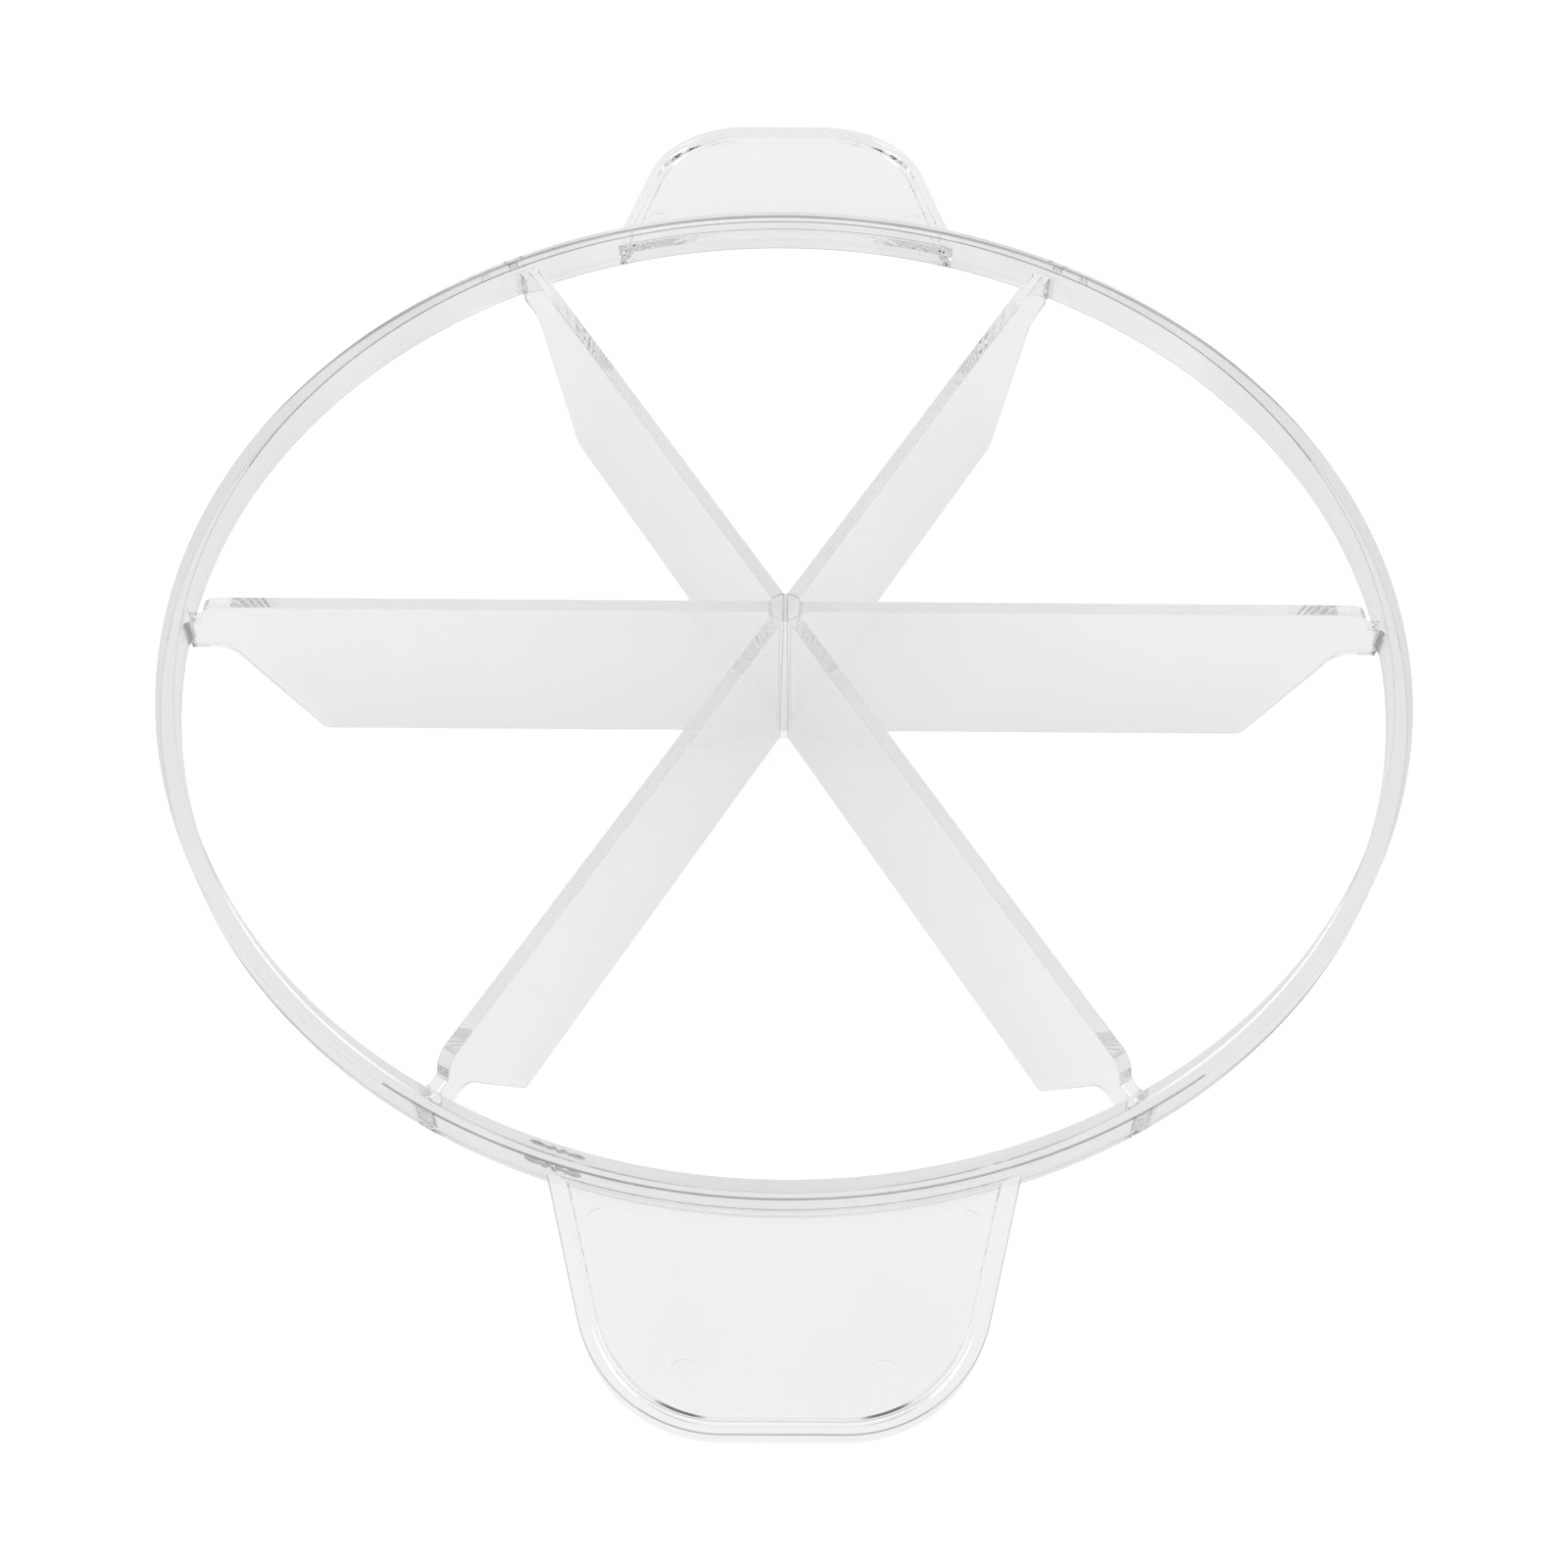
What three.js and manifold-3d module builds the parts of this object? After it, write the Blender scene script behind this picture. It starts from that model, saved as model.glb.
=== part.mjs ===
// Pie slice cutter: a clear one-piece moulding with six blades, a round rim and two handles.
// It stands on its blade edges. The origin is on the post's axis at that level, handles along Y, +Z up.
import * as THREE from 'three';
import { mergeVertices } from 'three/addons/utils/BufferGeometryUtils.js';
import Module from 'manifold-3d';

// Driving dimensions, in millimetres and degrees.
const RIM_DIAMETER = 254;
const RIM_WALL = 3.7;
const RIM_HEIGHT = 8.7;
const RIM_EDGE_ROUND = 0.25;
const RIM_DROP = 3.25; // from the blades' top edges down to the rim's top face

const BLADE_COUNT = 6;
const BLADE_HEIGHT = 42.35;
const BLADE_TOP_THICKNESS = 2.9;
const BLADE_EDGE_THICKNESS = 0.7;
const FOOT_INSET = 23; // from the rim's wall in to the end of the cutting edge
const FOOT_ROUND = 2.5;
const TAB_LENGTH = 8; // the tab that carries a blade on the rim, along its underside
const TAB_DROP = 1.5; // from the rim's lower face down to the tab's underside
const TAB_ROUND = 5;
const LEDGE_LENGTH = 3.4; // the stepped-down top of the tab
const LEDGE_DROP = 1.5; // from the rim's top face down to the ledge
const LEDGE_ROUND = 0.6;
const STEP_LEAN = 1.5; // how far the step between ledge and top edge leans in
const STEP_ROUND = 3.2;
const TAB_FILLET = 1.2; // the flare where a tab runs into the rim

const HUB_COVER = 0.3; // post radius past the corner where neighbouring blades would meet
const HUB_DRAFT = 1.78;
const HUB_DROP = 0.4; // from the blades' top edges down to the post's top

const HANDLE_REACH = 37.8; // past the rim's outer face
const HANDLE_ROOT_WIDTH = 81.8;
const HANDLE_TAPER = 15;
const HANDLE_CORNER_RADIUS = 25;
const HANDLE_LEVEL = 2.85; // from the rim's lower face up to the plate's middle
const PLATE_THICKNESS = 1.9;
const BEAD_WIDTH = 3.4; // at its foot on the plate
const BEAD_EDGE_WIDTH = 2.1; // at its top and at its lower face, which is level with the rim's
const BEAD_RISE = 0.9; // above the plate
const BEAD_ROUND = 0.25;

const MARK_RADIUS = 2.75; // round marks that the mould's ejector pins leave
const MARK_DEPTH = 0.15;
const MARK_SIDE_INSET = 7.2; // from the handle's side edge, for the two marks near the rim
const MARK_TIP_INSET = 8.4; // from the rounded corner, for the two marks near the tip
const MARK_ROOT_REACH = 2.2; // past the rim's outer radius
const MARK_TIP_ANGLE = 68; // round the handle's corner, from its side

const JOINT_GAP = 0.3; // between neighbouring regions of the moulding

// Facet counts.
const RIM_FACETS = 120;
const HUB_FACETS = 36;
const MARK_FACETS = 32;
const ARC_STEPS = 8;
const EDGE_STEPS = 2;

// Levels and radii that follow from the sizes above.
const radians = THREE.MathUtils.degToRad;
const rimRadius = RIM_DIAMETER / 2;
const rimInside = rimRadius - RIM_WALL;
const rimTop = BLADE_HEIGHT - RIM_DROP;
const rimBottom = rimTop - RIM_HEIGHT;
const bladeEnd = rimInside - JOINT_GAP;
const plateTop = rimBottom + HANDLE_LEVEL + PLATE_THICKNESS / 2;
const plateUnderside = plateTop - PLATE_THICKNESS;
const hubTop = BLADE_HEIGHT - HUB_DROP;
const hubTopRadius = BLADE_TOP_THICKNESS / 2 / Math.sin(Math.PI / BLADE_COUNT) + HUB_COVER;
const hubRadius = (level) => hubTopRadius + (level - hubTop) * Math.tan(radians(HUB_DRAFT));

const clearPlastic = new THREE.MeshStandardMaterial({
  color: 0xe9ecec, roughness: 0.08, metalness: 0, transparent: true, opacity: 0.35,
});

const wasm = await Module();
wasm.setup();

// Turns a closed geometry into a solid that can be joined and cut.
function toSolid(geometry) {
  const bare = geometry.clone();
  bare.deleteAttribute('normal');
  bare.deleteAttribute('uv');
  const merged = mergeVertices(bare);
  return new wasm.Manifold(new wasm.Mesh({
    numProp: 3,
    vertProperties: new Float32Array(merged.attributes.position.array),
    triVerts: new Uint32Array(merged.index.array),
  }));
}

function toGeometry(solid) {
  const mesh = solid.getMesh();
  const geometry = new THREE.BufferGeometry();
  geometry.setAttribute('position', new THREE.BufferAttribute(mesh.vertProperties, 3));
  geometry.setIndex(new THREE.BufferAttribute(mesh.triVerts, 1));
  geometry.computeVertexNormals();
  return geometry;
}

// A closed outline through corners [x, y, radius], each rounded by an arc of its radius.
function roundedShape(corners, steps = ARC_STEPS) {
  const points = corners.map(([x, y]) => new THREE.Vector2(x, y));
  const outline = points.flatMap((corner, i) => {
    const radius = corners[i][2];
    if (!radius) return [corner];
    const back = points.at(i - 1).clone().sub(corner).normalize();
    const ahead = points[(i + 1) % points.length].clone().sub(corner).normalize();
    const halfAngle = Math.acos(back.dot(ahead)) / 2;
    const reach = radius / Math.tan(halfAngle);
    const centre = back.clone().add(ahead).setLength(radius / Math.sin(halfAngle)).add(corner);
    const start = back.clone().multiplyScalar(reach).add(corner).sub(centre).angle();
    const end = ahead.clone().multiplyScalar(reach).add(corner).sub(centre).angle();
    const turnsRight = back.cross(ahead) > 0;
    const arc = new THREE.EllipseCurve(centre.x, centre.y, radius, radius, start, end, turnsRight);
    return arc.getPoints(steps);
  });
  return new THREE.Shape(outline);
}

// An upright solid: an outline in plan, drawn up from one level to another.
function upright(shape, low, high) {
  const geometry = new THREE.ExtrudeGeometry(shape, {
    depth: high - low, bevelEnabled: false, curveSegments: ARC_STEPS,
  });
  return toSolid(geometry.translate(0, 0, low));
}

function roundBar(topRadius, bottomRadius, low, high, facets) {
  const geometry = new THREE.CylinderGeometry(topRadius, bottomRadius, high - low, facets);
  return geometry.rotateX(Math.PI / 2).translate(0, 0, (low + high) / 2);
}

// The rim is a rectangular section with eased edges, turned round the axis.
function makeRim() {
  const section = roundedShape([
    [rimInside, rimBottom, RIM_EDGE_ROUND],
    [rimRadius, rimBottom, RIM_EDGE_ROUND],
    [rimRadius, rimTop, RIM_EDGE_ROUND],
    [rimInside, rimTop, RIM_EDGE_ROUND],
  ], EDGE_STEPS);
  const profile = section.getPoints();
  profile.push(profile[0].clone());
  return new THREE.LatheGeometry(profile, RIM_FACETS).rotateX(Math.PI / 2);
}

function bladeHalfThickness(level) {
  const share = level / BLADE_HEIGHT;
  return (BLADE_EDGE_THICKNESS + (BLADE_TOP_THICKNESS - BLADE_EDGE_THICKNESS) * share) / 2;
}

// A blade along +X. Its outline stands in the XZ plane, and its faces draw in towards the cutting edge.
function makeBlade() {
  const tabUnderside = rimBottom - TAB_DROP;
  const ledge = rimTop - LEDGE_DROP;
  const stepFoot = rimInside - LEDGE_LENGTH;
  const outline = roundedShape([
    [hubRadius(0) + JOINT_GAP, 0, 0],
    [rimInside - FOOT_INSET, 0, FOOT_ROUND],
    [rimInside - TAB_LENGTH, tabUnderside, TAB_ROUND],
    [bladeEnd, tabUnderside, 0],
    [bladeEnd, ledge, 0],
    [stepFoot, ledge, LEDGE_ROUND],
    [stepFoot - STEP_LEAN, BLADE_HEIGHT, STEP_ROUND],
    [hubRadius(BLADE_HEIGHT) + JOINT_GAP, BLADE_HEIGHT, 0],
  ]);
  const plate = new THREE.ExtrudeGeometry(outline, {
    depth: 2, bevelEnabled: false, curveSegments: ARC_STEPS,
  }).translate(0, 0, -1);
  const position = plate.attributes.position;
  for (let i = 0; i < position.count; i += 1) {
    position.setZ(i, position.getZ(i) * bladeHalfThickness(position.getY(i)));
  }
  plate.rotateX(Math.PI / 2);

  const neck = bladeHalfThickness(tabUnderside);
  const flare = new THREE.Shape();
  flare.moveTo(bladeEnd - TAB_FILLET, -neck);
  flare.absarc(bladeEnd - TAB_FILLET, -neck - TAB_FILLET, TAB_FILLET, Math.PI / 2, 0, true);
  flare.absarc(bladeEnd - TAB_FILLET, neck + TAB_FILLET, TAB_FILLET, 0, -Math.PI / 2, true);
  return toGeometry(toSolid(plate).add(upright(flare, rimBottom, ledge)));
}

// The handle's outline in plan, along +Y, drawn in from its outer edge by an inset. It starts inside the rim.
function handleCorners(inset) {
  const lean = Math.tan(radians(HANDLE_TAPER));
  const rootLevel = Math.sqrt(rimRadius ** 2 - (HANDLE_ROOT_WIDTH / 2) ** 2);
  const tip = rimRadius + HANDLE_REACH;
  const start = rimRadius - HANDLE_ROOT_WIDTH / 2;
  const drawnIn = inset / Math.cos(radians(HANDLE_TAPER));
  const side = (y) => HANDLE_ROOT_WIDTH / 2 - (y - rootLevel) * lean - drawnIn;
  const corner = HANDLE_CORNER_RADIUS - inset;
  return [
    [side(start), start, 0],
    [side(tip - inset), tip - inset, corner],
    [-side(tip - inset), tip - inset, corner],
    [-side(start), start, 0],
  ];
}

// The hollow over or under the plate. Its walls lean out from the bead's foot and pass the bead's edge.
function makeTray(depth) {
  const floor = roundedShape(handleCorners(BEAD_WIDTH));
  const geometry = new THREE.ExtrudeGeometry(floor, {
    depth, curveSegments: ARC_STEPS, bevelEnabled: true, bevelSegments: 1,
    bevelThickness: 2 * depth, bevelSize: 2 * (BEAD_WIDTH - BEAD_EDGE_WIDTH),
  });
  return geometry.translate(0, 0, 2 * depth);
}

// Centres of the four round marks on a handle: two near the rim and two round the outer corners.
function markCentres() {
  const reach = rimRadius + MARK_ROOT_REACH;
  const [[rootX, rootY], [endX, endY]] = handleCorners(MARK_SIDE_INSET);
  const sideX = THREE.MathUtils.mapLinear(reach, rootY, endY, rootX, endX);
  const [, [tipX, tipY, radius]] = handleCorners(MARK_TIP_INSET);
  const arcX = tipX - radius * Math.tan(radians((90 - HANDLE_TAPER) / 2));
  const cornerX = arcX + radius * Math.cos(radians(MARK_TIP_ANGLE));
  const cornerY = tipY - radius + radius * Math.sin(radians(MARK_TIP_ANGLE));
  return [[sideX, reach], [-sideX, reach], [cornerX, cornerY], [-cornerX, cornerY]];
}

// A handle along +Y: a slab hollowed from above and below to a plate inside a bead, ended at the rim's wall,
// with the four marks sunk in its top.
function makeHandle() {
  const slab = new THREE.ExtrudeGeometry(roundedShape(handleCorners(0)), {
    depth: plateTop + BEAD_RISE - rimBottom - 2 * BEAD_ROUND, curveSegments: ARC_STEPS,
    bevelEnabled: true, bevelSegments: EDGE_STEPS,
    bevelThickness: BEAD_ROUND, bevelSize: BEAD_ROUND, bevelOffset: -BEAD_ROUND,
  }).translate(0, 0, rimBottom + BEAD_ROUND);
  const upper = makeTray(BEAD_RISE).translate(0, 0, plateTop);
  const lower = makeTray(plateUnderside - rimBottom).rotateY(Math.PI).translate(0, 0, plateUnderside);
  const rimSpace = roundBar(rimRadius + JOINT_GAP, rimRadius + JOINT_GAP, 0, BLADE_HEIGHT, RIM_FACETS);
  const pins = markCentres().map(([x, y]) => {
    const pin = roundBar(MARK_RADIUS, MARK_RADIUS, plateTop - MARK_DEPTH, plateTop + MARK_DEPTH, MARK_FACETS);
    return pin.translate(x, y, 0);
  });
  let handle = toSolid(slab);
  for (const space of [upper, lower, rimSpace, ...pins]) {
    handle = handle.subtract(toSolid(space));
  }
  return toGeometry(handle);
}

const cutter = new THREE.Group();

function place(name, geometry, turn = 0) {
  const mesh = new THREE.Mesh(geometry, clearPlastic.clone());
  mesh.name = name;
  mesh.rotation.z = turn;
  cutter.add(mesh);
}

place('rim', makeRim());
place('hub', roundBar(hubTopRadius, hubRadius(0), 0, hubTop, HUB_FACETS));

const blade = makeBlade();
for (let i = 0; i < BLADE_COUNT; i += 1) {
  place(`blade_${i + 1}`, blade, (2 * Math.PI * i) / BLADE_COUNT);
}

const handle = makeHandle();
place('back_handle', handle);
place('front_handle', handle, Math.PI);

export default cutter;
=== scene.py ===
"""The pie slice cutter's looks: one clear moulding, shown as its ten regions, on a white floor."""

import math

import bmesh
import bpy
from mathutils import Matrix, Vector


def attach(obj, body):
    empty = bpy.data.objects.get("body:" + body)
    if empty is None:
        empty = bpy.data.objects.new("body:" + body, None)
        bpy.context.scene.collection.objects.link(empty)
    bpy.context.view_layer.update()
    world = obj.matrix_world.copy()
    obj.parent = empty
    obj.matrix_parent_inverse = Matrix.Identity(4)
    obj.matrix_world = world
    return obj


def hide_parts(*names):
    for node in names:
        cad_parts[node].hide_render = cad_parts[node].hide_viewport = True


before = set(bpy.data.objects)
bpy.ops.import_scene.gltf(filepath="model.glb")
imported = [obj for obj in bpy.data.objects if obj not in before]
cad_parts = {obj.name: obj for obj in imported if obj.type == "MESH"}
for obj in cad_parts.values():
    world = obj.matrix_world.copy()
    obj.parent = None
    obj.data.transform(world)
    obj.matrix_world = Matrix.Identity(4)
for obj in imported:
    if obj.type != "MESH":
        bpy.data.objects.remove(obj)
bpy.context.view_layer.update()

# The solids' sizes, in millimetres and degrees.
RIM_RADIUS = 127.0
RIM_WALL = 3.7
RIM_HEIGHT = 8.7
RIM_DROP = 3.25  # from the blades' top edges down to the rim's top face
BLADE_COUNT = 6
BLADE_HEIGHT = 42.35
BLADE_TOP_THICKNESS = 2.9
BLADE_EDGE_THICKNESS = 0.7
FOOT_INSET = 23.0  # from the rim's inside in to the end of the cutting edge
FOOT_ROUND = 2.5
TAB_LENGTH = 8.0  # the tab that carries a blade on the rim, along its underside
TAB_DROP = 1.5  # from the rim's lower face down to the tab's underside
TAB_ROUND = 5.0
TAB_FLARE = 1.2  # where a tab runs into the rim
LEDGE_LENGTH = 3.4  # the stepped-down top of the tab
LEDGE_DROP = 1.5  # from the rim's top face down to the ledge
LEDGE_ROUND = 0.6
STEP_LEAN = 1.5  # how far the step between ledge and top edge leans in
STEP_ROUND = 3.2
POST_DROP = 0.4  # from the blades' top edges down to the post's top
HANDLE_REACH = 37.8  # past the rim's outer face
HANDLE_ROOT_WIDTH = 81.8
HANDLE_TAPER = 15.0
HANDLE_CORNER = 25.0
HANDLE_LEVEL = 2.85  # from the rim's lower face up to the plate's middle
PLATE_THICKNESS = 1.9
BEAD_WIDTH = 3.4  # at its foot on the plate
BEAD_EDGE_WIDTH = 2.1  # at its top and at its lower face
BEAD_RISE = 0.9  # above the plate
MARK_RADIUS = 2.75  # round marks that the mould's ejector pins leave
MARK_DEPTH = 0.15
MARKS = ((31.1, 129.2), (16.2, 155.1))  # near the rim and near the tip, the same on both sides

# Finer forms, which only the looks have.
RIM_ROUND = 0.2
RIM_LOW_ROUND = 0.45  # the lower edge inside
RIM_TOP_ROUND = 0.3  # the top edge outside
RIM_DRAFT = 0.15  # each wall's lean from bottom to top
BLADE_ROUND = 0.22
POST_TOP_RADIUS = 3.7  # the post is a little fuller than the solid
POST_FOOT_RADIUS = 2.4
POST_RECESS = 3.5  # radius of the sunk top, which is cut from the blades' ends too
POST_SHADE_STRIP = 0.13  # half the strip of painted shade, a darker tint, in the corner between post and blade
BEAD_ROUND = 0.2
BEAD_DRAFT = 0.25  # the outer wall's lean
PLATE_FILLET = 1.0  # between a handle's plate and the rim's wall
FILLET_SPREAD = 18.0  # round the rim, to each side of the handle's middle
GATE_ANGLE = 251.6  # round the rim from +X, at the front left
GATE_LEVEL = 35.0
GATE_DENTS = (  # along the rim, up, length as a share of the ball's, depth
    (-3.6, 0.3, 2.4, 0.2), (-1.6, -0.2, 1.2, 0.15), (-0.6, 0.6, 1.0, 0.12), (0.2, -0.7, 1.0, 0.14),
    (1.2, 0.3, 1.2, 0.15), (2.2, -0.4, 1.0, 0.1), (3.6, -0.2, 2.2, 0.2),
)
DENT_BALL = 1.2  # radius of the ball that cuts a dent
DENT_HEIGHT = 2.0  # as a share of the ball's

# How far one form runs into its neighbour before the two are joined.
RIM_BITE = 1.5  # blades and handles, into the rim
FLARE_BITE = 1.4  # flares, into the rim
FILLET_BITE = 0.5  # plate fillets, into the rim
PLATE_SINK = 0.3  # beads and fillets, into the plate
FLARE_LEAD = 0.3  # a flare's start, back along its blade and into it
FLARE_SINK = 0.2
TAB_LIFT = 0.5  # from the rim's lower face up to the part of a tab that is in the rim
TAB_CLEARANCE = 0.05  # below that part, to the rim's inside
BLADE_START = 1.0  # from the axis, inside the post
HANDLE_START = 100.0  # from the axis, before the end inside the rim is cut off

# Levels and radii that follow from the sizes above.
RIM_INSIDE = RIM_RADIUS - RIM_WALL
RIM_TOP = BLADE_HEIGHT - RIM_DROP
RIM_BOTTOM = RIM_TOP - RIM_HEIGHT
LEDGE = RIM_TOP - LEDGE_DROP
LEDGE_START = RIM_INSIDE - LEDGE_LENGTH
TAB_UNDERSIDE = RIM_BOTTOM - TAB_DROP
TAB_FOOT = RIM_BOTTOM + TAB_LIFT
POST_TOP = BLADE_HEIGHT - POST_DROP
HANDLE_TIP = RIM_RADIUS + HANDLE_REACH
PLATE_TOP = RIM_BOTTOM + HANDLE_LEVEL + PLATE_THICKNESS / 2
PLATE_UNDERSIDE = PLATE_TOP - PLATE_THICKNESS
BEAD_TOP = PLATE_TOP + BEAD_RISE
BLADE_PITCH = 360 / BLADE_COUNT

# Where the moulding is parted into its regions.
HUB_REACH = 4.5  # from the axis to the hub's six flat cuts
BLADE_REACH = 122.6  # from the axis to a blade's outer cut
HANDLE_CUT = 127.4  # radius of the cut between rim and handles
HANDLE_SPREAD = 30.0  # to each side of the handle's middle
BAND_HALF = 2.0  # half the width of a blade's cutter
CORE_RADIUS = 100.0  # all inside it is taken from the rim's piece
OUT_REACH = 200.0  # past the handles' tips
BELOW, ABOVE = -1.0, 60.0  # levels clear of the whole moulding
MERGE = 2e-4  # points closer than this become one

# Facet counts, and the degrees from point to point of an arc.
RIM_FACETS = 360
BAR_FACETS = 96
PIN_FACETS = 64
BALL_FACETS = 48
BALL_ROWS = 24  # from one end of a ball to the other
BALL_POLE = 1.0  # left open at a ball's two ends
POST_ROWS = 12
POST_MIDS = 5  # strips of the post between two blades' corners
BLADE_EASE_STEPS = 4
FLARE_STEPS = 16
FILLET_STEPS = 8
EASED_STEP = 18.0  # eased edges of rim and bead
OUTLINE_STEP = 6.0  # a blade's outline
PATH_STEP = 2.5  # a handle's outline
ARC_STEP = 0.5  # arcs round the post's axis

# Shading: edges past this many degrees stay sharp, and large faces rule the normals.
SHARP_ANGLE = 25.0
FACE_WEIGHT = 100

# Stretches of eased edge with painted shade, a darker tint. Facets of the rim are one degree each.
SHADED_INSIDE = range(21, 160)  # the rim's inside edges, at the back
SHADED_OUTSIDE = range(236, 305)  # its outer top edge, at the front
SHADED_TIP = 32.5  # degrees round a handle's corner, from its tip
OUTLINED_TIP = 50.0  # the same, where both edges of the bead get a lighter line of painted shade

# A mesh's material slots: plain plastic, the cuts between regions, eased edges with painted shade, and roots,
# which are frosted, and corners with painted shade.
PLASTIC, JOINT, SHADED_EDGE, ROOT_FROST_AND_SHADE = 0, 1, 2, 3

# The plastic, in metres where it has lengths.
REFRACTION = 1.53
CLOUD_SCALE = 45.0  # noise that the tint, the haze and the waves follow
CLOUD_DETAIL = 3.0
CLOUD_DARK, CLOUD_PALE = 0.3, 0.7  # noise levels that get the dark and the pale tint
WAVES = 2e-5  # height of the surface's waves
HAZE = 0.015  # roughness of polished plastic
FROST = 0.6  # roughness of frosted plastic
SHADE_FADE_START, SHADE_FADE_END = 0.03, 0.11  # along Y, where the rim's painted shade fades towards the back
SHADE_FADE_SHARE = 0.4  # what that fade of the painted shade adds to the noise
SHADOW_TINT = 0.9

# The stage, in metres.
FLOOR_HALF = 4.0
FLOOR_LEVEL = -5e-5  # just under the cutting edges
FLOOR_PAINT = 0.3
FLOOR_GLOW = 0.8  # to the camera
PLASTIC_GLOW = 0.565  # through the plastic and off it
PLASTIC_GLOW_FRONT = 0.6  # the same, at the front
FLOOR_SHADOW_START, FLOOR_SHADOW_END = -0.12, 0.0  # along Y, where the glow to the plastic drops from the front's to the rest's: a painted shadow, dimmer behind the front
SUN_STRENGTH = 0.8
SUN_SPREAD = 60
SUN_TILT = (28, -22, 0)
SKY_FRONT, SKY_BACK = 0.85, 0.8
SKY_START, SKY_END = -0.4, 0.3  # along Y of the direction
BACK_BOX = {"towards": (0, 0.5, 0.866), "edge": 0.62, "core": 0.85, "strength": 0.92}
SIDE_BOX = {"towards": (0.908, -0.243, 0.342), "edge": 0.92, "core": 0.96, "strength": 1.5}
SIDE_CARD = {"towards": (0.399, -0.692, 0.602), "edge": 0.962, "core": 0.992, "strength": 0.1}

# The camera, as it was fitted to the photograph: millimetres and degrees.
VIEW_FROM = (-2.97, -277.31, 375.79)
VIEW_DOWN, VIEW_YAW, VIEW_ROLL = 51.657, 0.583, 0.855
LENS = 48.815
SENSOR = 36
SHIFT_DOWN = 0.08
CLIP_START = 0.01  # metres

BOUNCES = 128  # light that the clear walls catch needs many

MILLIMETRE = 0.001  # in metres


# Outlines and angles.

def turn(degrees):
    return Matrix.Rotation(math.radians(degrees), 4, "Z")


def polar(radius, a):
    return radius * math.cos(a), radius * math.sin(a)


def around(section, a):
    """A section's points (radius, level), turned to an angle round the post's axis."""
    return [(*polar(radius, a), z) for radius, z in section]


def quarter_turn(steps):
    return [math.pi / 2 * k / steps for k in range(steps + 1)]


def arc(first, last):
    """Angles from first to last, which are given in degrees."""
    return [math.radians(first + ARC_STEP * k) for k in range(round((last - first) / ARC_STEP) + 1)]


def rounded(corners, step):
    """An outline through corners (x, y, radius), each rounded by an arc with a point every few degrees."""
    points = []
    for i, (x, y, radius) in enumerate(corners):
        corner = Vector((x, y))
        if not radius:
            points.append(corner)
            continue
        back = (Vector(corners[i - 1][:2]) - corner).normalized()
        ahead = (Vector(corners[(i + 1) % len(corners)][:2]) - corner).normalized()
        half = back.angle(ahead) / 2
        centre = corner + (back + ahead).normalized() * radius / math.sin(half)
        start = corner + back * radius / math.tan(half) - centre
        sweep = math.copysign(math.pi - 2 * half, -back.cross(ahead))
        count = max(2, round(abs(math.degrees(sweep)) / step))
        for k in range(count + 1):
            a = sweep * k / count
            points.append(centre + Vector((
                start.x * math.cos(a) - start.y * math.sin(a),
                start.x * math.sin(a) + start.y * math.cos(a),
            )))
    return points


def arc_strips(outline, longest):
    """The numbers of an outline's short segments, which are the ones round its corners."""
    ends = outline[1:] + outline[:1]
    return {j for j, (p, q) in enumerate(zip(outline, ends)) if (q - p).length < longest}


# Meshes.

def make_object(name, points, faces, slots):
    mesh = bpy.data.meshes.new(name)
    mesh.from_pydata([tuple(p) for p in points], [], faces)
    work = bmesh.new()
    work.from_mesh(mesh)
    bmesh.ops.recalc_face_normals(work, faces=work.faces)
    for face, slot in zip(work.faces, slots):
        face.material_index = slot
    work.to_mesh(mesh)
    work.free()
    for material in (clear_plastic, clear_joint, shaded_edge, clear_root):
        mesh.materials.append(material)
    made = bpy.data.objects.new(name, mesh)
    bpy.context.scene.collection.objects.link(made)
    return made


def tube(name, rings, closed=False, slot=PLASTIC, strips=None):
    """A skin over rings of points, each ring closed: capped at its ends, or closed on itself.

    For the row between two rings and the strip along them, strips gives the material slot.
    """
    n = len(rings[0])
    points = [p for ring in rings for p in ring]
    faces, slots = [], []
    for i in range(len(rings) if closed else len(rings) - 1):
        a, b = i * n, (i + 1) % len(rings) * n
        for j in range(n):
            faces.append((a + j, a + (j + 1) % n, b + (j + 1) % n, b + j))
            slots.append(strips(i, j) if strips else slot)
    if not closed:
        faces += [tuple(range(n)), tuple(range(len(points) - n, len(points)))]
        slots += [slot, slot]
    return make_object(name, points, faces, slots)


def drawn_up(name, outline, low, high, slot=PLASTIC):
    return tube(name, [[(p[0], p[1], z) for p in outline] for z in (low, high)], slot=slot)


def round_bar(name, radii, levels, facets=BAR_FACETS, centre=(0, 0), slot=PLASTIC, strips=None):
    rings = []
    for radius, z in zip(radii, levels):
        circle = [polar(radius, 2 * math.pi * k / facets) for k in range(facets)]
        rings.append([(centre[0] + x, centre[1] + y, z) for x, y in circle])
    return tube(name, rings, slot=slot, strips=strips)


def combine(target, other, operation, keep=False):
    """Joins, cuts or crosses target with other, and drops other unless it is kept."""
    modifier = target.modifiers.new("combine", "BOOLEAN")
    modifier.operation = operation
    modifier.solver = "MANIFOLD"
    modifier.object = other
    graph = bpy.context.evaluated_depsgraph_get()
    mesh = bpy.data.meshes.new_from_object(target.evaluated_get(graph))
    target.modifiers.remove(modifier)
    old, target.data = target.data, mesh
    bpy.data.meshes.remove(old)
    if not keep:
        bpy.data.meshes.remove(other.data)
    return target


def clean(piece):
    """Merges points that lie on each other, which leaves no face without a size."""
    work = bmesh.new()
    work.from_mesh(piece.data)
    bmesh.ops.remove_doubles(work, verts=work.verts, dist=MERGE)
    bmesh.ops.dissolve_degenerate(work, edges=work.edges, dist=MERGE)
    work.to_mesh(piece.data)
    work.free()


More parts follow.
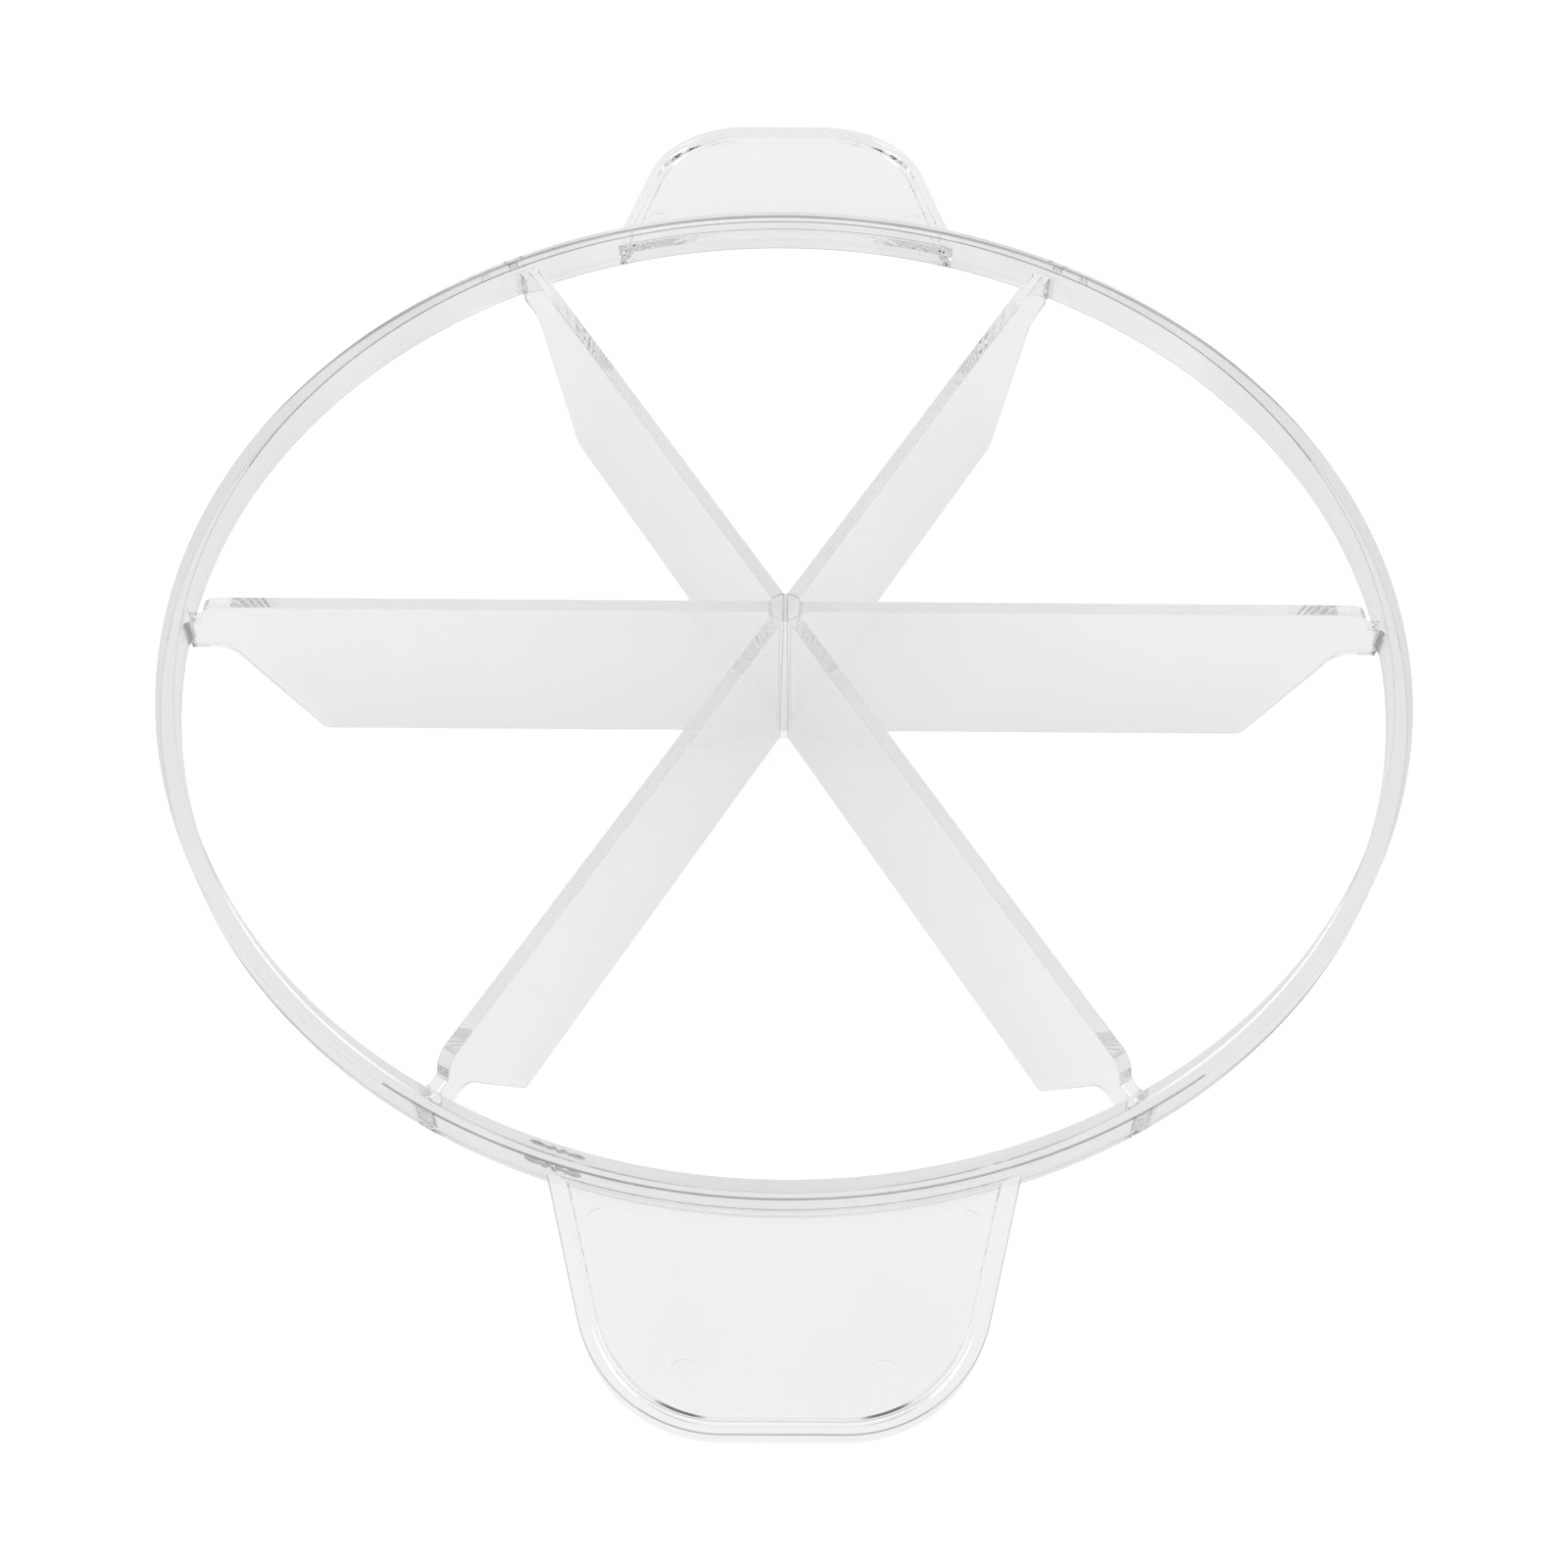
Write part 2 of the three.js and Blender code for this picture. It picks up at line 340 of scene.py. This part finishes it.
def copy_of(source, name, matrix=None):
    made = bpy.data.objects.new(name, source.data.copy())
    if matrix is not None:
        made.data.transform(matrix)
    bpy.context.scene.collection.objects.link(made)
    return made


# Materials.

def new_material(name):
    material = bpy.data.materials.new(name)
    material.use_nodes = True
    material.node_tree.nodes.clear()
    return material, material.node_tree


def add_node(tree, kind, *ordered, settings=None, **named):
    """A node with inputs set in order, or by name with _ for a space, to a value or another node's output."""
    node = tree.nodes.new(kind)
    for key, value in (settings or {}).items():
        setattr(node, key, value)
    inputs = list(enumerate(ordered)) + [(key.replace("_", " "), value) for key, value in named.items()]
    for key, value in inputs:
        if isinstance(value, bpy.types.NodeSocket):
            tree.links.new(value, node.inputs[key])
        else:
            node.inputs[key].default_value = value
    return node


def add_math(tree, operation, *values):
    return add_node(tree, "ShaderNodeMath", *values, settings={"operation": operation}).outputs["Value"]


def add_range(tree, value, **limits):
    return add_node(tree, "ShaderNodeMapRange", Value=value, **limits).outputs["Result"]


def grey(level):
    return level, level, level, 1


def make_clear_plastic(name, dark, pale, unshaded_back=None, rough=HAZE, milky=0.0):
    """Clear plastic that takes a little light, between a dark and a pale tint, and up to a back tint towards
    the back if one is given. Tints darker than the plastic's own are painted shade, and that painted shade
    fades towards the back.

    A milky plastic scatters that share of the light.
    """
    material, tree = new_material(name)
    place = add_node(tree, "ShaderNodeTexCoord").outputs["Object"]
    cloud = add_node(
        tree, "ShaderNodeTexNoise", Vector=place, Scale=CLOUD_SCALE, Detail=CLOUD_DETAIL,
    ).outputs["Fac"]
    wave = add_node(tree, "ShaderNodeBump", Height=cloud, Distance=WAVES).outputs["Normal"]
    share = cloud
    # Painted shade on thick plastic fades along Y towards the back.
    if unshaded_back:
        depth = add_node(tree, "ShaderNodeSeparateXYZ", Vector=place).outputs["Y"]
        less_shade = add_range(tree, depth, From_Min=SHADE_FADE_START, From_Max=SHADE_FADE_END, To_Max=SHADE_FADE_SHARE)
        share = add_math(tree, "ADD", cloud, less_shade)
    ramp = add_node(tree, "ShaderNodeValToRGB", Fac=share)
    first, last = ramp.color_ramp.elements
    first.position, first.color = CLOUD_DARK, grey(dark)
    last.position, last.color = CLOUD_PALE, grey(pale)
    if unshaded_back:
        ramp.color_ramp.elements.new(1.0).color = grey(unshaded_back)
    tint = ramp.outputs["Color"]
    haze = add_range(tree, cloud, To_Min=0.0, To_Max=rough)
    surface = add_node(
        tree, "ShaderNodeBsdfGlass", Color=tint, IOR=REFRACTION, Roughness=haze, Normal=wave,
    ).outputs["BSDF"]
    if milky:
        milk = add_node(tree, "ShaderNodeBsdfDiffuse", Color=tint).outputs["BSDF"]
        surface = add_node(tree, "ShaderNodeMixShader", milky, surface, milk).outputs["Shader"]
    through = add_node(tree, "ShaderNodeBsdfTransparent", Color=grey(SHADOW_TINT)).outputs["BSDF"]
    shadow = add_node(tree, "ShaderNodeLightPath").outputs["Is Shadow Ray"]
    mix = add_node(tree, "ShaderNodeMixShader", shadow, surface, through)
    add_node(tree, "ShaderNodeOutputMaterial", Surface=mix.outputs["Shader"])
    return material


def make_joint():
    """Fully clear, for the cuts between regions, which the real moulding does not have."""
    material, tree = new_material("clear_joint")
    through = add_node(tree, "ShaderNodeBsdfTransparent")
    add_node(tree, "ShaderNodeOutputMaterial", Surface=through.outputs["BSDF"])
    return material


def make_floor_material():
    """White to the camera and dimmer to the plastic, with the shadow that the sun casts. To the plastic it
    also has a painted shadow: dimmer behind the front.
    """
    material, tree = new_material("white_floor")
    light = add_node(tree, "ShaderNodeLightPath").outputs
    inside = add_math(tree, "MAXIMUM", light["Is Glossy Ray"], light["Is Transmission Ray"])
    place = add_node(tree, "ShaderNodeTexCoord").outputs["Object"]
    depth = add_node(tree, "ShaderNodeSeparateXYZ", Vector=place).outputs["Y"]
    # Painted shadow: the glow that the plastic sees drops from the front towards the back.
    painted_shadow_drop = add_range(
        tree, depth, From_Min=FLOOR_SHADOW_START, From_Max=FLOOR_SHADOW_END, To_Min=PLASTIC_GLOW_FRONT, To_Max=PLASTIC_GLOW,
    )
    dimmed = add_math(tree, "MULTIPLY", inside, painted_shadow_drop)
    level = add_math(tree, "MULTIPLY_ADD", light["Is Camera Ray"], FLOOR_GLOW, dimmed)
    glow = add_node(tree, "ShaderNodeEmission", Strength=level).outputs["Emission"]
    paint = add_node(tree, "ShaderNodeBsdfDiffuse", Color=grey(FLOOR_PAINT)).outputs["BSDF"]
    both = add_node(tree, "ShaderNodeAddShader", glow, paint)
    add_node(tree, "ShaderNodeOutputMaterial", Surface=both.outputs["Shader"])
    return material


clear_plastic = make_clear_plastic("clear_plastic", dark=0.992, pale=0.999)
# The rim's tint is partly the thick plastic's own absorption and partly painted shade: the rim's shadow on
# the floor seen through it, darker at the front.
thick_shaded_plastic = make_clear_plastic("clear_plastic_thick_shaded", dark=0.94, pale=0.955, unshaded_back=0.985)
# Painted shade: darker tints for the dark lines along eased edges and in the gate's dents, the darkest on the
# rim and the front handle.
shaded_edge = make_clear_plastic("clear_plastic_shaded_edge", dark=0.5, pale=0.62)
soft_shaded_edge = make_clear_plastic("clear_plastic_soft_shaded_edge", dark=0.95, pale=0.985)
clear_root = make_clear_plastic("clear_plastic_root", dark=0.98, pale=0.99, rough=FROST, milky=0.35)
# Painted shade: a darker tint in the corners between post and blades, in the post's sunk top and along the
# front handle's bead.
shaded_corner = make_clear_plastic("clear_plastic_shaded_corner", dark=0.66, pale=0.76)
clear_joint = make_joint()


def plastics_of(node):
    """A region's materials, in the order of the slots."""
    plain = thick_shaded_plastic if node == "rim" else clear_plastic
    # Painted shade: eased edges take the edge tints, the hub's and front handle's corners the corner tint,
    # the back handle's the soft edge tint; blade and rim roots stay frosted.
    edge = shaded_edge if node in ("rim", "front_handle") else soft_shaded_edge
    corners = {"hub": shaded_corner, "front_handle": shaded_corner, "back_handle": soft_shaded_edge}
    return plain, clear_joint, edge, corners.get(node, clear_root)


# Shapes.

def make_rim():
    section = rounded([
        (RIM_INSIDE + RIM_DRAFT, RIM_BOTTOM, RIM_LOW_ROUND),
        (RIM_RADIUS - RIM_DRAFT, RIM_BOTTOM, RIM_ROUND),
        (RIM_RADIUS, RIM_TOP, RIM_TOP_ROUND), (RIM_INSIDE, RIM_TOP, RIM_ROUND),
    ], EASED_STEP)
    rings = [around(section, 2 * math.pi * (k + 0.5) / RIM_FACETS) for k in range(RIM_FACETS)]
    eased = arc_strips(section, RIM_ROUND)
    inside = {j for j in eased if section[j].x < RIM_RADIUS - RIM_WALL / 2}
    outside = {j for j in eased - inside if section[j].y > RIM_TOP - RIM_HEIGHT / 2}

    # Painted shade: eased edges in these stretches take the dark edge tint.
    def strips(i, j):
        dark = i in SHADED_INSIDE if j in inside else j in outside and i in SHADED_OUTSIDE
        return SHADED_EDGE if dark else PLASTIC

    return tube("moulding", rings, closed=True, strips=strips)


def blade_half(z):
    """Half a blade's thickness at a level."""
    draft = BLADE_TOP_THICKNESS - BLADE_EDGE_THICKNESS
    return (BLADE_EDGE_THICKNESS + draft * z / BLADE_HEIGHT) / 2


def make_blade():
    """A blade along X with eased edges. Its outline stands in the XZ plane."""
    tab_end, rim_end = RIM_INSIDE - TAB_CLEARANCE, RIM_INSIDE + RIM_BITE
    outline = rounded([
        (BLADE_START, 0, 0), (RIM_INSIDE - FOOT_INSET, 0, FOOT_ROUND),
        (RIM_INSIDE - TAB_LENGTH, TAB_UNDERSIDE, TAB_ROUND), (tab_end, TAB_UNDERSIDE, 0),
        (tab_end, TAB_FOOT, 0), (rim_end, TAB_FOOT, 0), (rim_end, LEDGE, 0),
        (LEDGE_START, LEDGE, LEDGE_ROUND), (LEDGE_START - STEP_LEAN, BLADE_HEIGHT, STEP_ROUND),
        (BLADE_START, BLADE_HEIGHT, 0),
    ], OUTLINE_STEP)
    inward = []
    for i, p in enumerate(outline):
        before = (p - outline[i - 1]).normalized()
        after = (outline[(i + 1) % len(outline)] - p).normalized()
        a, b = Vector((-before.y, before.x)), Vector((-after.y, after.x))
        inward.append((a + b) / (1 + a.dot(b)))
    profile = [
        (BLADE_ROUND * (1 - math.sin(a)), BLADE_ROUND * (1 - math.cos(a)))
        for a in quarter_turn(BLADE_EASE_STEPS)
    ]
    rings = []
    for side, rows in ((1, profile), (-1, profile[::-1])):
        for inset, drop in rows:
            ring = []
            for p, n in zip(outline, inward):
                s, z = p + n * inset
                ring.append((s, side * (blade_half(z) - drop), z))
            rings.append(ring)
    # Painted shade: the eased edges take the edge tint.
    return tube("blade", rings, strips=lambda i, j: PLASTIC if i == BLADE_EASE_STEPS else SHADED_EDGE)


def make_flare():
    """The flared root of a blade at the rim, with the blade's own draft."""
    start = RIM_INSIDE - TAB_FLARE
    rings = []
    for z in (TAB_FOOT, LEDGE):
        half = blade_half(z)
        side = [(start - FLARE_LEAD, half - FLARE_SINK)]
        for a in quarter_turn(FLARE_STEPS):
            side.append((start + TAB_FLARE * math.sin(a), half + TAB_FLARE * (1 - math.cos(a))))
        side.append((RIM_INSIDE + FLARE_BITE, half + TAB_FLARE))
        ring = side + [(x, -y) for x, y in reversed(side)]
        rings.append([(x, y, z) for x, y in ring])
    return tube("flare", rings, slot=ROOT_FROST_AND_SHADE)


def make_post():
    """The tapered post, with painted shade, a darker tint, in the corners where it meets the blades."""
    pitch = math.radians(BLADE_PITCH)
    rings = []
    for row in range(POST_ROWS + 1):
        z = POST_TOP * row / POST_ROWS
        radius = POST_FOOT_RADIUS + (POST_TOP_RADIUS - POST_FOOT_RADIUS) * row / POST_ROWS
        meets = math.asin(blade_half(z) / radius)
        hidden, clear = meets - POST_SHADE_STRIP / radius, meets + POST_SHADE_STRIP / radius
        gap = pitch - 2 * clear
        ring = []
        for k in range(BLADE_COUNT):
            start = pitch * k
            angles = [start - hidden, start + hidden]
            angles += [start + clear + gap * m / POST_MIDS for m in range(POST_MIDS + 1)]
            ring += [(*polar(radius, a), z) for a in angles]
        rings.append(ring)
    strip_count = POST_MIDS + 3
    corners = (1, strip_count - 1)
    return tube("post", rings, strips=lambda i, j: ROOT_FROST_AND_SHADE if j % strip_count in corners else PLASTIC)


def handle_corners(inset):
    """The corners of a handle's outline, or of a path that lies inside it by the inset."""
    taper, root_half = math.radians(HANDLE_TAPER), HANDLE_ROOT_WIDTH / 2
    root_level = math.sqrt(RIM_RADIUS ** 2 - root_half ** 2)
    tip, corner = HANDLE_TIP - inset, HANDLE_CORNER - inset

    def side(y):
        return root_half - (y - root_level) * math.tan(taper) - inset / math.cos(taper)

    return [
        (side(HANDLE_START), HANDLE_START, 0), (side(tip), tip, corner),
        (-side(tip), tip, corner), (-side(HANDLE_START), HANDLE_START, 0),
    ]


def make_bead():
    """The bead round a handle's edge, with sloping sides towards the plate."""
    lean = BEAD_WIDTH - BEAD_EDGE_WIDTH
    low_foot = BEAD_WIDTH + PLATE_SINK * lean / (PLATE_UNDERSIDE - RIM_BOTTOM)
    high_foot = BEAD_WIDTH + PLATE_SINK * lean / BEAD_RISE
    section = rounded([
        (BEAD_DRAFT, RIM_BOTTOM, BEAD_ROUND), (BEAD_EDGE_WIDTH, RIM_BOTTOM, BEAD_ROUND),
        (low_foot, PLATE_UNDERSIDE + PLATE_SINK, 0), (high_foot, PLATE_TOP - PLATE_SINK, 0),
        (BEAD_EDGE_WIDTH, BEAD_TOP, BEAD_ROUND), (0, BEAD_TOP, BEAD_ROUND),
    ], EASED_STEP)
    paths = [(rounded(handle_corners(inset), PATH_STEP), z) for inset, z in section]
    rings = [[(path[i].x, path[i].y, z) for path, z in paths] for i in range(len(paths[0][0]))]
    upper = {j for j in arc_strips(section, BEAD_ROUND) if section[j].y > PLATE_TOP}
    outer = {j for j in upper if section[j].x < BEAD_EDGE_WIDTH / 2}
    middle = (len(rings) - 2) / 2

    # Painted shade: near the tip the bead's upper eased edges take the edge tint, further round both take a
    # lighter line of it, and beyond that the outer one.
    def strips(i, j):
        off_tip = abs(i - middle) * PATH_STEP
        if j in upper and off_tip <= SHADED_TIP:
            return SHADED_EDGE
        return ROOT_FROST_AND_SHADE if j in outer or j in upper and off_tip <= OUTLINED_TIP else PLASTIC

    return tube("handle", rings, strips=strips)


def make_plate_fillet():
    """The concave corner between a handle's plate and the rim's wall."""
    start, reach = RIM_RADIUS - FILLET_BITE, RIM_RADIUS + PLATE_FILLET
    section = [(start, PLATE_TOP - PLATE_SINK), (reach, PLATE_TOP - PLATE_SINK)]
    for a in quarter_turn(FILLET_STEPS):
        section.append((reach - PLATE_FILLET * math.sin(a), PLATE_TOP + PLATE_FILLET * (1 - math.cos(a))))
    section.append((start, PLATE_TOP + PLATE_FILLET))
    rings = [around(section, a) for a in arc(90 - FILLET_SPREAD, 90 + FILLET_SPREAD)]
    highest = FILLET_STEPS + 1
    # Painted shade: the fillet's top strip takes the edge tint.
    return tube("fillet", rings, strips=lambda i, j: SHADED_EDGE if j == highest else PLASTIC)


def make_handle():
    """A handle along Y: a plate inside a bead, run into the rim's wall, with four marks sunk in its top."""
    handle = make_bead()
    plate = rounded(handle_corners(BEAD_WIDTH / 2), PATH_STEP)
    combine(handle, drawn_up("plate", plate, PLATE_UNDERSIDE, PLATE_TOP), "UNION")
    pin_levels = (PLATE_TOP - MARK_DEPTH, BEAD_TOP)
    for x, y in MARKS:
        for side in (-1, 1):
            pin = round_bar("pin", (MARK_RADIUS,) * 2, pin_levels, PIN_FACETS, (side * x, y))
            combine(handle, pin, "DIFFERENCE")
    wall = round_bar("wall", (RIM_RADIUS - RIM_BITE,) * 2, (BELOW, ABOVE), RIM_FACETS)
    combine(handle, wall, "DIFFERENCE")
    return combine(handle, make_plate_fillet(), "UNION")


def cut_gate_mark(moulding):
    """The place inside the rim, at the front left, where the gate was cut off: a short chain of dents."""
    open_span = 180 - 2 * BALL_POLE
    angles = [math.radians(BALL_POLE + open_span * k / BALL_ROWS) for k in range(BALL_ROWS + 1)]
    radii = [DENT_BALL * math.sin(a) for a in angles]
    levels = [-DENT_BALL * math.cos(a) for a in angles]
    wall = RIM_INSIDE + RIM_DRAFT / 2
    for along, lift, length, depth in GATE_DENTS:
        # Painted shade: the dents' faces take the rim's dark edge tint.
        ball = round_bar("ball", radii, levels, BALL_FACETS, slot=SHADED_EDGE)
        place = turn(GATE_ANGLE + math.degrees(along / wall))
        place @= Matrix.Translation((wall + depth - DENT_BALL, 0, GATE_LEVEL + lift))
        ball.data.transform(place @ Matrix.Diagonal((1, length, DENT_HEIGHT, 1)))
        combine(moulding, ball, "DIFFERENCE")


def make_moulding():
    """The whole moulding as one solid: rim, blades, post and handles run into each other."""
    moulding = make_rim()
    blade = combine(make_blade(), make_flare(), "UNION")
    for k in range(BLADE_COUNT):
        combine(moulding, copy_of(blade, "blade", turn(BLADE_PITCH * k)), "UNION")
    bpy.data.meshes.remove(blade.data)
    combine(moulding, make_post(), "UNION")
    # The sunk top's wall takes the corner tint: painted shade in the recess.
    recess = round_bar("recess", (POST_RECESS,) * 2, (POST_TOP, ABOVE), strips=lambda i, j: ROOT_FROST_AND_SHADE)
    combine(moulding, recess, "DIFFERENCE")
    handle = make_handle()
    for degrees in (0, 180):
        combine(moulding, copy_of(handle, "handle", turn(degrees)), "UNION")
    bpy.data.meshes.remove(handle.data)
    cut_gate_mark(moulding)
    return moulding


# The regions that the solids have.

def make_cutter(outline, degrees=0):
    cutter = drawn_up("cutter", outline, BELOW, ABOVE, JOINT)
    cutter.data.transform(turn(degrees))
    return cutter


def make_cutters():
    """A cutter for each region but the rim, which is what the others leave."""
    half_pitch = BLADE_PITCH / 2
    corner_reach = HUB_REACH / math.cos(math.radians(half_pitch))
    hexagon = [polar(corner_reach, math.radians(half_pitch + BLADE_PITCH * k)) for k in range(BLADE_COUNT)]
    cutters = {"hub": make_cutter(hexagon)}
    band = [
        (HUB_REACH, -BAND_HALF), (BLADE_REACH, -BAND_HALF), (BLADE_REACH, BAND_HALF), (HUB_REACH, BAND_HALF),
    ]
    for k in range(BLADE_COUNT):
        cutters[f"blade_{k + 1}"] = make_cutter(band, BLADE_PITCH * k)
    sector = [polar(HANDLE_CUT, a) for a in arc(90 - HANDLE_SPREAD, 90 + HANDLE_SPREAD)]
    for degrees in (90 + HANDLE_SPREAD, 90, 90 - HANDLE_SPREAD):
        sector.append(polar(OUT_REACH, math.radians(degrees)))
    for node, degrees in (("back_handle", 0), ("front_handle", 180)):
        cutters[node] = make_cutter(sector, degrees)
    return cutters


def part_moulding(moulding):
    """The moulding's regions by their nodes. The core is cut out first, so that the rim is one body."""
    cutters = make_cutters()
    pieces = {}
    for node, cutter in cutters.items():
        pieces[node] = combine(copy_of(moulding, "clear_" + node), cutter, "INTERSECT", keep=True)
    pieces["rim"] = moulding
    moulding.name = "clear_rim"
    combine(moulding, round_bar("core", (CORE_RADIUS,) * 2, (BELOW, ABOVE)), "DIFFERENCE")
    for cutter in cutters.values():
        combine(moulding, cutter, "DIFFERENCE")
    return pieces


for node, piece in part_moulding(make_moulding()).items():
    clean(piece)
    piece.data.transform(Matrix.Scale(MILLIMETRE, 4))
    for slot, plastic in enumerate(plastics_of(node)):
        piece.data.materials[slot] = plastic
    piece.data.shade_smooth()
    piece.data.set_sharp_from_angle(angle=math.radians(SHARP_ANGLE))
    weigh = piece.modifiers.new("normals", "WEIGHTED_NORMAL")
    weigh.keep_sharp = True
    weigh.weight = FACE_WEIGHT
    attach(piece, "root")
    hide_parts(node)


# Stage.

def make_floor():
    floor = bpy.data.objects.new("floor", bpy.data.meshes.new("floor"))
    corners = [(x * FLOOR_HALF, y * FLOOR_HALF, FLOOR_LEVEL) for x, y in ((-1, -1), (1, -1), (1, 1), (-1, 1))]
    floor.data.from_pydata(corners, [], [(0, 1, 2, 3)])
    floor.data.materials.append(make_floor_material())
    bpy.context.scene.collection.objects.link(floor)
    return floor


def make_sun():
    """A broad soft lamp for the floor's shadow. The plastic doesn't mirror it."""
    sun = bpy.data.objects.new("sun", bpy.data.lights.new("sun", "SUN"))
    sun.data.energy = SUN_STRENGTH
    sun.data.angle = math.radians(SUN_SPREAD)
    sun.rotation_euler = [math.radians(tilt) for tilt in SUN_TILT]
    sun.visible_glossy = False
    sun.visible_transmission = False
    bpy.context.scene.collection.objects.link(sun)


def add_patch(tree, sky, seen, towards, edge, core, strength):
    """The sky with a soft box or a dark card in it, from its edge to its core, both given as cosines."""
    facing = add_node(tree, "ShaderNodeVectorMath", seen, towards, settings={"operation": "DOT_PRODUCT"})
    share = add_node(
        tree, "ShaderNodeMapRange", settings={"interpolation_type": "SMOOTHSTEP"},
        Value=facing.outputs["Value"], From_Min=edge, From_Max=core,
    ).outputs["Result"]
    patch = add_node(tree, "ShaderNodeMix", settings={"data_type": "FLOAT"}, Factor=share, A=sky, B=strength)
    return patch.outputs["Result"]


def make_sky():
    """White to the camera. To the plastic, pale with a box at the back, and a box and a card at each side."""
    world = bpy.data.worlds.new("studio")
    world.use_nodes = True
    tree = world.node_tree
    tree.nodes.clear()
    direction = add_node(tree, "ShaderNodeTexCoord").outputs["Generated"]
    x, y, z = add_node(tree, "ShaderNodeSeparateXYZ", Vector=direction).outputs
    either_side = add_math(tree, "ABSOLUTE", x)
    mirrored = add_node(tree, "ShaderNodeCombineXYZ", X=either_side, Y=y, Z=z).outputs["Vector"]
    sky = add_range(tree, y, From_Min=SKY_START, From_Max=SKY_END, To_Min=SKY_FRONT, To_Max=SKY_BACK)
    sky = add_patch(tree, sky, direction, **BACK_BOX)
    sky = add_patch(tree, sky, mirrored, **SIDE_BOX)
    sky = add_patch(tree, sky, mirrored, **SIDE_CARD)
    camera_ray = add_node(tree, "ShaderNodeLightPath").outputs["Is Camera Ray"]
    level = add_node(
        tree, "ShaderNodeMix", settings={"data_type": "RGBA"}, Factor=camera_ray, A=sky, B=grey(1),
    ).outputs["Result"]
    back = add_node(tree, "ShaderNodeBackground", Color=level)
    add_node(tree, "ShaderNodeOutputWorld", Surface=back.outputs["Background"])
    bpy.context.scene.world = world


def make_camera():
    """The camera at the photograph's viewpoint."""
    down, yaw, roll = (math.radians(angle) for angle in (VIEW_DOWN, VIEW_YAW, VIEW_ROLL))
    ahead = Vector((math.sin(yaw) * math.cos(down), math.cos(yaw) * math.cos(down), -math.sin(down)))
    level_right = Vector((math.cos(yaw), -math.sin(yaw), 0))
    level_up = level_right.cross(ahead)
    right = math.cos(roll) * level_right + math.sin(roll) * level_up
    up = math.cos(roll) * level_up - math.sin(roll) * level_right
    camera = bpy.data.objects.new("camera", bpy.data.cameras.new("camera"))
    camera.data.sensor_width = SENSOR
    camera.data.lens = LENS
    camera.data.shift_y = -SHIFT_DOWN
    camera.data.clip_start = CLIP_START
    place = Matrix.Translation(Vector(VIEW_FROM) * MILLIMETRE)
    camera.matrix_world = place @ Matrix((right, up, -ahead)).transposed().to_4x4()
    bpy.context.scene.collection.objects.link(camera)
    bpy.context.scene.camera = camera


make_floor()
make_sun()
make_sky()
make_camera()

scene = bpy.context.scene
scene.view_settings.view_transform = "Standard"
scene.cycles.max_bounces = BOUNCES
scene.cycles.transmission_bounces = BOUNCES
scene.cycles.glossy_bounces = BOUNCES
scene.cycles.transparent_max_bounces = BOUNCES
scene.cycles.caustics_reflective = True
scene.cycles.caustics_refractive = True
